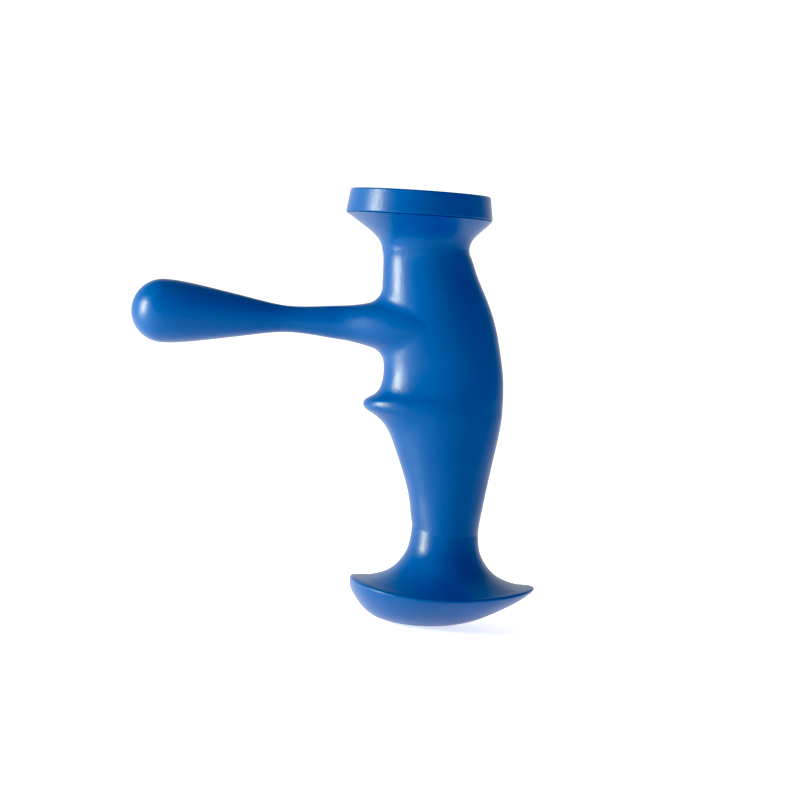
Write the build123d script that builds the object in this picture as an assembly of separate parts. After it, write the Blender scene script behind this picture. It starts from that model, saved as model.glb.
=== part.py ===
from build123d import *
from math import cos, pi, sin
import os

# A rigid hand tool for pressing massage: a hollow moulded handle with a flat disc head on top,
# a bulb-ended thumb arm to one side, a finger ledge and a domed foot.
# It is modelled about the handle's axis, with height 0 at the foot's rim, the arm along -X and
# the front along -Y. At the end it moves so that the origin is the centre of the head's flat face.

# ---- Driving dimensions, millimetres ----
TOOL_HEIGHT = 111.0        # foot rim to the flat face
WALL = 2.6                 # moulded wall
RIB = 1.8                  # moulded rib

HEAD_OFFSET = -13.4        # head centre, measured from the handle's axis
HEAD_RADIUS_LOW = 21.15    # the disc's edge leans in slightly towards the flat face
HEAD_RADIUS_TOP = 20.1
HEAD_THICKNESS = 7.0
HEAD_SEAT_RADIUS = 19.0    # step on the shells that centres the head cap
HEAD_SEAT_HEIGHT = 1.5
HEAD_EDGE = 0.6            # rounding of the disc's edges

DOME_SKEW = 0.50           # the foot's dome leans towards the arm as it gets deeper
FOOT_SHIFT = 0.5           # the foot's rim is centred this far towards the palm
FOOT_DIP = 5.6             # the foot's upper surface is a saddle, lower by this at the front and rear
FOOT_LIP_RADIUS = 22.6     # thin lip of the shells, let into the foot cap
FOOT_LIP = 1.1
FOOT_SEAT_RADIUS = 20.8    # thicker flange inside that lip
FOOT_SEAT_DEPTH = 2.2
FOOT_EDGE = 0.5            # rounding of the foot's rim

ARM_HEIGHT = 72.3          # arm axis above the foot's rim
ROOT_BLEND = 5.0           # radius that blends the arm's root into the handle
BULB_RADIUS = 9.15
BULB_CENTRE = -85.0
ROD_RADIUS = 2.0           # steel rod that stiffens the arm's thin neck

TONGUE_WIDTH = 1.2         # tongue-and-groove joint between the two shells
TONGUE_HEIGHT = 1.5
PIN_RADIUS = 1.5           # pins that line the shells up
PIN_LENGTH = 3.0
POST_RADIUS = 3.2
RING_BASE = 16.0           # the tongue runs between these heights
RING_TOP = 92.0
SLACK = 0.05               # radial clearance of every located fit

# Level oval sections of the handle: height, arm side, palm side, depth front to rear.
HANDLE = [
    (13.0, -9.65, 9.65, 19.3),
    (17.0, -9.85, 9.8, 19.64),
    (23.0, -10.9, 10.6, 20.2),
    (30.0, -13.0, 11.6, 22.0),
    (38.0, -16.2, 12.9, 23.6),
    (44.0, -19.5, 13.8, 24.8),
    (46.8, -22.9, 14.1, 25.8),
    (48.8, -25.7, 14.2, 26.4),
    (50.6, -25.6, 14.2, 26.3),
    (52.4, -23.0, 14.2, 25.6),
    (55.5, -21.1, 14.1, 24.8),
    (60.0, -20.7, 13.7, 24.3),
    (66.0, -21.6, 12.6, 24.6),
    (74.0, -22.4, 10.6, 24.2),
    (82.0, -22.6, 7.4, 22.6),
    (89.0, -22.8, 4.0, 21.4),
    (94.0, -23.4, 1.9, 21.8),
]
# The flare from the handle out to the head, in the same terms.
HEAD_FLARE = [
    (94.0, -23.4, 1.9, 21.8),
    (96.5, -24.3, 1.7, 23.2),
    (99.0, -26.8, 2.9, 27.4),
    (101.5, -30.4, 5.3, 34.2),
    (104.0, -34.45, 7.65, 42.1),
]
# The open inside of that flare.
HEAD_MOUTH = [
    (94.0, -20.8, -0.7, 16.6),
    (99.0, -22.8, -1.4, 19.6),
    (102.0, -25.4, -0.6, 25.0),
    (105.5, -29.8, 3.0, 32.8),
]
# Upright oval sections of the arm's root: place along X, height, depth front to rear.
ARM_ROOT = [
    (-36.0, 9.4, 9.4),
    (-31.0, 10.4, 11.8),
    (-26.5, 12.2, 15.8),
    (-22.0, 14.6, 19.6),
    (-16.0, 17.4, 22.6),
    (-8.0, 19.6, 24.0),
    (0.0, 20.6, 22.4),
]
# Arm between the bulb and its root: place along X, radius.
ARM_TAPER = [(-76.5, 8.35), (-67.8, 6.85), (-58.6, 5.15), (-49.0, 3.8), (-42.0, 4.1), (-36.0, 4.7)]

# Upper surface of the foot, from inside the handle's waist to past the rim: radius, height.
FOOT_TOP = [
    (9.5, 17.0),
    (9.72, 13.0),
    (10.1, 10.2),
    (11.0, 7.6),
    (12.4, 5.4),
    (14.5, 3.15),
    (17.6, 1.35),
    (21.2, 0.3),
    (25.0, 0.05),
    (29.5, -2.4),
]
FOOT_STEPS = 24            # points round half of that surface
# The open inside of the shells below that surface, in the same terms.
FOOT_THROAT = [(7.1, 13.0), (8.5, 7.0), (12.3, 1.8), (18.0, -1.0)]

# The foot's dome and its open inside, which reaches up to the shells' flange: height, radius.
DOME = [
    (-12.9, 3.4),
    (-12.6, 7.4),
    (-12.1, 10.4),
    (-11.0, 14.1),
    (-9.0, 18.0),
    (-6.0, 22.1),
    (-3.0, 25.2),
    (-1.3, 26.3),
    (0.0, 26.8),
    (1.0, 27.0),
]
DOME_INSIDE = [(-9.9, 3.0), (-9.0, 8.5), (-6.0, 15.2), (-3.5, 18.2), (-2.2, 19.2)]

# Inside the shells: heights of the stiffening plates, posts (place along X, height) and
# upright saddles that carry the rod. The rod's two ends stop inside the outermost saddles.
PLATE_HEIGHTS = [22.0, 36.0, 50.0, 91.0]
POSTS = [(0.0, 29.0), (-2.0, 43.0), (-4.0, 57.0), (-9.0, 85.0)]
SADDLES = [-78.0, -67.0, -17.5, -7.0, 5.0]
SADDLE_HEIGHT = 30.0
PLATE_MARGIN = 3.5         # how far the plates reach in from the wall

ON_BASE = (Align.CENTER, Align.CENTER, Align.MIN)
SPAN = 400.0               # longer than the whole tool, for cutting
FRONT = Pos(0, -SPAN / 2, 0) * Box(SPAN, SPAN, SPAN)


def oval(height, arm_side, palm_side, depth, inset=0.0):
    """One level oval section of the handle."""
    half_width = (palm_side - arm_side) / 2 - inset
    return Pos((arm_side + palm_side) / 2, 0, height) * Ellipse(half_width, depth / 2 - inset)


def upright_oval(x, height, depth, inset=0.0):
    """One upright oval section of the arm's root."""
    section = Plane(origin=(x, 0, ARM_HEIGHT), x_dir=(0, 1, 0), z_dir=(1, 0, 0))
    return section * Ellipse(depth / 2 - inset, height / 2 - inset)


def turned(edges, axis):
    """A solid of revolution from edges drawn in the XZ plane."""
    return revolve(Plane.XZ * make_face(Curve() + edges), axis)


# ---- Outer shape shared by the two shells ----

def below_foot_top(drop=0.0):
    """Space below the front half of the foot's upper surface, or of that surface dropped by some depth."""
    (waist, top), (rim, _) = FOOT_TOP[0], FOOT_TOP[-1]
    rows = []
    for radius, height in FOOT_TOP:
        reach = (radius - waist) / (rim - waist)
        row = []
        for step in range(FOOT_STEPS + 1):
            angle = pi * step / FOOT_STEPS
            dip = FOOT_DIP * (reach * sin(angle)) ** 2
            row.append(Vector(FOOT_SHIFT * reach + radius * cos(angle), -radius * sin(angle), height - dip))
        rows.append(row)
    flare = Face.make_surface_from_array_of_points(rows)
    throat = flare.edges().sort_by(Axis.Z)[-1]
    core = make_face([throat, Line(throat @ 0, throat @ 1)])
    below = extrude(flare, amount=2 * top, dir=(0, 0, -1)) + extrude(core, amount=3 * top, dir=(0, 0, -1))
    return Pos(0, 0, -drop) * below


def foot_outside():
    """Front half of the foot's upper side, with the flange and the thin lip that sit in the foot cap."""
    below = below_foot_top()
    lip_space = Cylinder(FOOT_LIP_RADIUS, SPAN) - Cylinder(FOOT_SEAT_RADIUS - FOOT_LIP, SPAN)
    lip = (below & Pos(FOOT_SHIFT, 0, 0) * lip_space) - below_foot_top(FOOT_LIP)
    flange_space = Pos(FOOT_SHIFT, 0, -FOOT_SEAT_DEPTH) * Cylinder(FOOT_SEAT_RADIUS, SPAN, align=ON_BASE)
    return lip + (below & flange_space)


def head_outside():
    """Flare up to the head, with the step that centres the head cap."""
    step = Cylinder(HEAD_SEAT_RADIUS, HEAD_SEAT_HEIGHT, align=ON_BASE)
    flare = loft([oval(*section) for section in HEAD_FLARE])
    return flare + Pos(HEAD_OFFSET, 0, TOOL_HEIGHT - HEAD_THICKNESS) * step


def arm(taper, inset=0.0):
    """The bulb and the tapering arm, or the hollow inside them when inset."""
    shoulder = BULB_RADIUS - inset
    tip = (BULB_CENTRE - shoulder, ARM_HEIGHT)
    over = (BULB_CENTRE, ARM_HEIGHT + shoulder)
    points = [(x, ARM_HEIGHT + radius - inset) for x, radius in taper]
    edges = [
        RadiusArc(tip, over, shoulder),
        Spline(over, *points, tangents=[(1, 0), (1, taper_end_slope(taper))]),
        Polyline(points[-1], (points[-1][0], ARM_HEIGHT), tip),
    ]
    return turned(edges, Axis((0, 0, ARM_HEIGHT), (1, 0, 0)))


def taper_end_slope(taper):
    """Slope of the taper at its last point."""
    (x0, radius0), (x1, radius1) = taper[-2:]
    return (radius1 - radius0) / (x1 - x0)


def arm_root(sections, inset=0.0):
    """The arm's root, which widens into the handle."""
    return loft([upright_oval(*section, inset=inset) for section in sections])


def handle(inset=0.0):
    """The gripped length of the handle, or the hollow inside it when inset."""
    return loft([oval(*section, inset=inset) for section in HANDLE])


def grip():
    """The handle with the arm's root blended into it."""
    joined = handle() + arm_root(ARM_ROOT)
    meeting_line = joined.edges().sort_by(SortBy.LENGTH)[-1]
    return fillet(meeting_line, ROOT_BLEND)


def outside():
    """Outer shape of the front half."""
    upper = grip() + head_outside() + arm(ARM_TAPER)
    return (upper & FRONT) + foot_outside()


# ---- The hollow inside and what stands in it ----

def hollow():
    """The open inside of the two shells, before ribs."""
    mouth = loft([oval(*section) for section in HEAD_MOUTH])
    arm_inside = arm_root(ARM_ROOT[2:], WALL) + arm(ARM_TAPER[:3], WALL)
    return handle(WALL) + foot_throat() + mouth + arm_inside


def foot_throat():
    """The open inside of the foot's upper part."""
    start, end = FOOT_THROAT[0], FOOT_THROAT[-1]
    edges = [
        Spline(*FOOT_THROAT, tangents=[(0, -1), (1, -0.3)]),
        Polyline(end, (end[0], -SPAN / 8), (0, -SPAN / 8), (0, start[1]), start),
    ]
    return turned(edges, Axis.Z)


def rod():
    """The steel rod in the arm."""
    length = SADDLES[-1] - SADDLES[0]
    return Pos(SADDLES[0], 0, ARM_HEIGHT) * Rot(0, 90, 0) * Cylinder(ROD_RADIUS, length, align=ON_BASE)


def plates():
    """Level stiffening plates, each with an open middle."""
    bars = []
    for height in PLATE_HEIGHTS:
        slab = Pos(0, 0, height) * Box(SPAN, SPAN, RIB)
        bars.append((slab & handle(WALL)) - handle(WALL + PLATE_MARGIN))
    return bars


def saddles():
    """Upright plates across the arm's axis, which carry the rod."""
    return [Pos(x, 0, ARM_HEIGHT) * Box(RIB, SPAN, SADDLE_HEIGHT) for x in SADDLES]


def pin(x, height, length, radius):
    """A round pin that starts on the joint plane and runs to the rear."""
    return Pos(x, 0, height) * Rot(-90, 0, 0) * Cylinder(radius, length, align=ON_BASE)


def fittings():
    """Everything that stands inside the shells, running right across the hollow."""
    posts = [Pos(x, 0, height) * Rot(90, 0, 0) * Cylinder(POST_RADIUS, SPAN) for x, height in POSTS]
    return plates() + saddles() + posts


def bare_shell():
    """The front shell before its joint is cut, with room for the rod. The rear one mirrors it."""
    cavity = hollow()
    for fitting in fittings():
        cavity = cavity - fitting
    return outside() - cavity - rod()


# ---- The joint between the shells ----

def joint_ring(width, height, root_inset):
    """A ring in the inner part of the handle's wall, just in front of the joint plane."""
    slab = Pos(0, -height / 2, (RING_TOP + RING_BASE) / 2) * Box(SPAN, height, RING_TOP - RING_BASE)
    return (handle(WALL - width) & slab) - handle(WALL) - arm_root(ARM_ROOT[1:], root_inset)


def front_shell(bare):
    """Front shell: a groove round its edge, and pins on its posts."""
    shell = bare - joint_ring(TONGUE_WIDTH + SLACK, TONGUE_HEIGHT + SLACK, 2 * SLACK)
    for x, height in POSTS:
        shell = shell + pin(x, height, PIN_LENGTH, PIN_RADIUS)
    return shell


def rear_shell(bare):
    """Rear shell: a tongue round its edge, and sockets in its posts."""
    shell = mirror(bare, Plane.XZ) + joint_ring(TONGUE_WIDTH, TONGUE_HEIGHT, 0.0)
    for x, height in POSTS:
        shell = shell - pin(x, height, PIN_LENGTH + SLACK, PIN_RADIUS + SLACK)
    return shell


# ---- End caps ----

def head_cap():
    """One-piece flat disc head, hollow underneath, with crossed ribs."""
    base = TOOL_HEIGHT - HEAD_THICKNESS
    seat_top = base + HEAD_SEAT_HEIGHT
    inner = HEAD_SEAT_RADIUS - WALL
    recess = HEAD_SEAT_RADIUS + SLACK
    roof = TOOL_HEIGHT - WALL
    edge = Polyline(
        (0, roof), (inner, roof), (inner, seat_top), (recess, seat_top), (recess, base),
        (HEAD_RADIUS_LOW, base), (HEAD_RADIUS_TOP, TOOL_HEIGHT), (0, TOOL_HEIGHT), (0, roof))
    disc = turned([edge], Axis.Z)
    rims = disc.edges().filter_by(GeomType.CIRCLE).group_by(SortBy.RADIUS)
    disc = fillet(rims[-1] + rims[-2].filter_by_position(Axis.Z, TOOL_HEIGHT, TOOL_HEIGHT), HEAD_EDGE)
    for angle in (0, 90):
        rib = Pos(0, 0, seat_top) * Rot(0, 0, angle) * Box(2 * inner, RIB, roof - seat_top, align=ON_BASE)
        disc = disc + rib
    return Pos(HEAD_OFFSET, 0, 0) * disc


def dome(profile):
    """A dome of level circles whose deepest point leans towards the arm."""
    circles = [Pos(FOOT_SHIFT + DOME_SKEW * height, 0, height) * Circle(radius) for height, radius in profile]
    return loft(circles)


def foot_cap():
    """One-piece domed foot, hollow, with crossed ribs and a seat for the shells' flange and lip."""
    front = dome(DOME) & below_foot_top()
    front = fillet(front.edges().sort_by(SortBy.LENGTH)[-1], FOOT_EDGE)
    lip_seat = Pos(FOOT_SHIFT, 0, 0) * Cylinder(FOOT_LIP_RADIUS + SLACK, SPAN) - below_foot_top(FOOT_LIP)
    flange_seat = Pos(FOOT_SHIFT, 0, -FOOT_SEAT_DEPTH) * Cylinder(
        FOOT_SEAT_RADIUS + SLACK, SPAN, align=ON_BASE)
    inside = dome(DOME_INSIDE)
    for angle in (0, 90):
        inside = inside - Rot(0, 0, angle) * Box(SPAN, RIB, SPAN)
    front = front - lip_seat - flange_seat - inside
    return front + mirror(front, Plane.XZ)


# ---- Build and save, with the origin at the centre of the flat face ----

bare = bare_shell()
pieces = {
    "front_shell": front_shell(bare),
    "rear_shell": rear_shell(bare),
    "head_cap": head_cap(),
    "foot_cap": foot_cap(),
    "arm_core": rod(),
}
os.makedirs("parts", exist_ok=True)
for name, piece in pieces.items():
    export_step(Pos(-HEAD_OFFSET, 0, -TOOL_HEIGHT) * piece, f"parts/{name}.step")
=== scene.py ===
import bpy
from math import radians
from mathutils import Matrix, Vector


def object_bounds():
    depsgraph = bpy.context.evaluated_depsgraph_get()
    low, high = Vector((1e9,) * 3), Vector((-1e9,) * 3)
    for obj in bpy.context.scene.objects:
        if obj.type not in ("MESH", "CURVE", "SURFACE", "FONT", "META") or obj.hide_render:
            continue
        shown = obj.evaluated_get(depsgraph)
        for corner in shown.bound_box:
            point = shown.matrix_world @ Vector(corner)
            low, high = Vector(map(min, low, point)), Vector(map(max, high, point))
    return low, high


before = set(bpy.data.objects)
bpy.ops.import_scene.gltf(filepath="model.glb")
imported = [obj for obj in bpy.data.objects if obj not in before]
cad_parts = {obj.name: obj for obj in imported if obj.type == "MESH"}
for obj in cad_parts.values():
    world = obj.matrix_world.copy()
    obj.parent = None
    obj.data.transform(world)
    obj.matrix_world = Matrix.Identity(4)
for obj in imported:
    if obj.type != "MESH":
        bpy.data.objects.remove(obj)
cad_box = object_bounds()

# A rigid blue hand tool for pressing massage. Lengths are in metres.
# The origin is the centre of the flat head face, with the arm along -X and the front along -Y.

# ---- View ----
EYE_DISTANCE = 0.80        # the eye stands this far in front of the tool
EYE_HEIGHT = -0.030        # and a little below the head, so the foot is seen from above
AIM = Vector((-0.0020, 0.0, -0.0598))
LEAN = radians(3.85)       # the tool leans this far clockwise in the picture
LENS = 125.3
SENSOR = 36.0
NEAREST = 0.01             # nothing nearer to the eye is drawn

# ---- Colours, linear ----
BLUE = (0.0, 0.056, 0.264, 1.0)
BLUE_DEEP = (0.0, 0.048, 0.230, 1.0)
STEEL = (0.60, 0.61, 0.63, 1.0)
PAPER = (0.93, 0.93, 0.93, 1.0)
WHITE = (1.0, 1.0, 1.0, 1.0)

# ---- Plastic ----
PLASTIC_IOR = 1.49
PLASTIC_GLOSS = 0.36       # specular level
PLASTIC_ROUGHNESS = (0.29, 0.38)
FLOW_WAVES = 28.0          # waves per metre of the faint change of colour
SMUDGE_WAVES = 90.0        # of the handling smudges
SINK_WAVES = 60.0          # of the slight waviness
SPARK_WAVES = 1500.0       # and of the fine grain
SINK_DEPTH = 0.0004
SPARK_DEPTH = 0.0001
BUMP_STRENGTH = 0.5

# ---- Steel ----
STEEL_ROUGHNESS = (0.28, 0.42)
STEEL_WAVES = 900.0

MIDDLE_OF_NOISE = (0.3, 0.7)   # the part of a noise's range that is spread over the whole effect

# ---- Light ----
HORIZON_LIGHT = 1.05       # strength of the surroundings at eye level
OVERHEAD_LIGHT = 0.30      # and overhead
CLIMB = (0.15, 0.75)       # it fades between these heights on a unit sphere
PALM_SHADE = 0.5           # the palm's side is dimmed to this much
SWING = (0.35, 0.85)       # between these places across that sphere
FLOOR_GLOW = 0.60          # light from the floor itself
FLOOR_ROUGHNESS = 0.6
FLOOR_SIZE = 40.0
FLOOR_GAP = 0.0002         # the floor lies this far below the foot

# Area lights: place, target, width and height, watts, colour.
SOFT_BOXES = {
    "key": ((-0.56, -0.15, 0.03), (0.0, 0.0, -0.06), (0.12, 0.30), 5.4, (1.0, 1.0, 0.66)),
    "fill": ((-0.35, -0.20, 0.60), (-0.05, 0.0, -0.04), (0.60, 0.60), 0.5, (0.95, 1.0, 1.0)),
}

# ---- Print ----
BLACK_LEVEL = (0.035, 0.02, 0.02)
WHITE_LEVEL = (0.88, 0.88, 0.88)

SHELLS_AND_CAPS = ("front_shell", "rear_shell", "head_cap", "foot_cap")


# ---- Node helpers ----

def new_material(name):
    """A material with an empty node tree, its output and a Principled shader."""
    material = bpy.data.materials.new(name)
    material.use_nodes = True
    tree = material.node_tree
    tree.nodes.clear()
    output = tree.nodes.new("ShaderNodeOutputMaterial")
    shader = tree.nodes.new("ShaderNodeBsdfPrincipled")
    tree.links.new(shader.outputs["BSDF"], output.inputs["Surface"])
    return material, tree, shader


def noise(tree, waves, detail, roughness, distortion=0.0):
    """A noise texture in object space, in waves per metre."""
    place = tree.nodes.new("ShaderNodeTexCoord")
    texture = tree.nodes.new("ShaderNodeTexNoise")
    texture.inputs["Scale"].default_value = waves
    texture.inputs["Detail"].default_value = detail
    texture.inputs["Roughness"].default_value = roughness
    texture.inputs["Distortion"].default_value = distortion
    tree.links.new(place.outputs["Object"], texture.inputs["Vector"])
    return texture.outputs["Fac"]


def remap(tree, value, results, span):
    """Map a value's span to a pair of results, held at its ends."""
    node = tree.nodes.new("ShaderNodeMapRange")
    node.inputs["From Min"].default_value = span[0]
    node.inputs["From Max"].default_value = span[1]
    node.inputs["To Min"].default_value = results[0]
    node.inputs["To Max"].default_value = results[1]
    tree.links.new(value, node.inputs["Value"])
    return node.outputs["Result"]


def bump(tree, height, depth, below=None):
    """A bump of a given depth, on top of another bump if one is given."""
    node = tree.nodes.new("ShaderNodeBump")
    node.inputs["Distance"].default_value = depth
    node.inputs["Strength"].default_value = BUMP_STRENGTH
    tree.links.new(height, node.inputs["Height"])
    if below is not None:
        tree.links.new(below, node.inputs["Normal"])
    return node.outputs["Normal"]


def blend_colours(tree, factor, first, second):
    """Mix two fixed colours. The Mix node repeats its names, so its colour sockets go by number."""
    node = tree.nodes.new("ShaderNodeMix")
    node.data_type = "RGBA"
    node.inputs[6].default_value = first
    node.inputs[7].default_value = second
    tree.links.new(factor, node.inputs[0])
    return node.outputs[2]


# ---- Materials ----

def moulded_plastic():
    """Satin moulded plastic: faint flow colour, handling smudges, slight waviness and a fine grain."""
    material, tree, shader = new_material("moulded_blue_plastic")
    flow = remap(tree, noise(tree, FLOW_WAVES, 3.0, 0.55, 0.6), (0.0, 1.0), MIDDLE_OF_NOISE)
    tree.links.new(blend_colours(tree, flow, BLUE_DEEP, BLUE), shader.inputs["Base Color"])
    smudge = remap(tree, noise(tree, SMUDGE_WAVES, 4.0, 0.6, 0.3), PLASTIC_ROUGHNESS, MIDDLE_OF_NOISE)
    tree.links.new(smudge, shader.inputs["Roughness"])
    sink = bump(tree, noise(tree, SINK_WAVES, 1.0, 0.4), SINK_DEPTH)
    grain = bump(tree, noise(tree, SPARK_WAVES, 2.0, 0.6), SPARK_DEPTH, sink)
    tree.links.new(grain, shader.inputs["Normal"])
    shader.inputs["IOR"].default_value = PLASTIC_IOR
    shader.inputs["Specular IOR Level"].default_value = PLASTIC_GLOSS
    return material


def drawn_steel():
    """Plain drawn steel for the rod, which is hidden inside the arm."""
    material, tree, shader = new_material("drawn_steel")
    shader.inputs["Base Color"].default_value = STEEL
    shader.inputs["Metallic"].default_value = 1.0
    grain = remap(tree, noise(tree, STEEL_WAVES, 4.0, 0.6), STEEL_ROUGHNESS, MIDDLE_OF_NOISE)
    tree.links.new(grain, shader.inputs["Roughness"])
    return material


def pale_floor():
    """Pale paper that glows a little, so that the picture's ground prints white."""
    material, tree, shader = new_material("pale_floor")
    shader.inputs["Base Color"].default_value = PAPER
    shader.inputs["Roughness"].default_value = FLOOR_ROUGHNESS
    shader.inputs["Emission Color"].default_value = WHITE
    shader.inputs["Emission Strength"].default_value = FLOOR_GLOW
    return material


def dress(node, material):
    """Give a CAD node one material."""
    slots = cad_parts[node].material_slots
    if not slots:
        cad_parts[node].data.materials.append(material)
    for slot in slots:
        slot.material = material


# ---- Stage ----

def floor_plane():
    """A pale floor under the tool."""
    bottom = cad_box[0][2]
    bpy.ops.mesh.primitive_plane_add(size=FLOOR_SIZE, location=(0, 0, bottom - FLOOR_GAP))
    plane = bpy.context.object
    plane.name = "floor"
    plane.data.materials.append(pale_floor())


def soft_box(name, place, target, size, power, colour):
    """A rectangular area light that faces a target."""
    light = bpy.data.lights.new(name, "AREA")
    light.shape = "RECTANGLE"
    light.size, light.size_y = size
    light.energy = power
    light.color = colour
    lamp = bpy.data.objects.new(name, light)
    lamp.location = place
    lamp.rotation_euler = (Vector(target) - Vector(place)).to_track_quat("-Z", "Y").to_euler()
    bpy.context.scene.collection.objects.link(lamp)


def studio_world():
    """Surroundings that are bright near the floor, and dimmer overhead and on the palm's side."""
    world = bpy.data.worlds.new("studio")
    world.use_nodes = True
    tree = world.node_tree
    place = tree.nodes.new("ShaderNodeTexCoord")
    split = tree.nodes.new("ShaderNodeSeparateXYZ")
    tree.links.new(place.outputs["Generated"], split.inputs["Vector"])
    height = remap(tree, split.outputs["Z"], (HORIZON_LIGHT, OVERHEAD_LIGHT), CLIMB)
    side = remap(tree, split.outputs["X"], (1.0, PALM_SHADE), SWING)
    level = tree.nodes.new("ShaderNodeMath")
    level.operation = "MULTIPLY"
    tree.links.new(height, level.inputs[0])
    tree.links.new(side, level.inputs[1])
    background = tree.nodes["Background"]
    background.inputs["Color"].default_value = WHITE
    tree.links.new(level.outputs[0], background.inputs["Strength"])
    bpy.context.scene.world = world


def camera():
    """Look at the tool from the front, with the picture rolled so that the tool leans."""
    data = bpy.data.cameras.new("camera")
    data.lens = LENS
    data.sensor_width = SENSOR
    data.clip_start = NEAREST
    place = Vector((AIM.x, AIM.y - EYE_DISTANCE, EYE_HEIGHT))
    look = (AIM - place).to_track_quat("-Z", "Y").to_matrix().to_4x4()
    eye = bpy.data.objects.new("camera", data)
    eye.matrix_world = Matrix.Translation(place) @ look @ Matrix.Rotation(LEAN, 4, "Z")
    bpy.context.scene.collection.objects.link(eye)
    bpy.context.scene.camera = eye


def picture():
    """Print like a bright product photograph: deep blacks and blown-out paper."""
    view = bpy.context.scene.view_settings
    view.view_transform = "Standard"
    view.use_curve_mapping = True
    view.curve_mapping.black_level = BLACK_LEVEL
    view.curve_mapping.white_level = WHITE_LEVEL
    view.curve_mapping.update()


# ---- The whole scene ----

plastic = moulded_plastic()
for node in SHELLS_AND_CAPS:
    dress(node, plastic)
dress("arm_core", drawn_steel())

floor_plane()
studio_world()
for name, settings in SOFT_BOXES.items():
    soft_box(name, *settings)
camera()
picture()
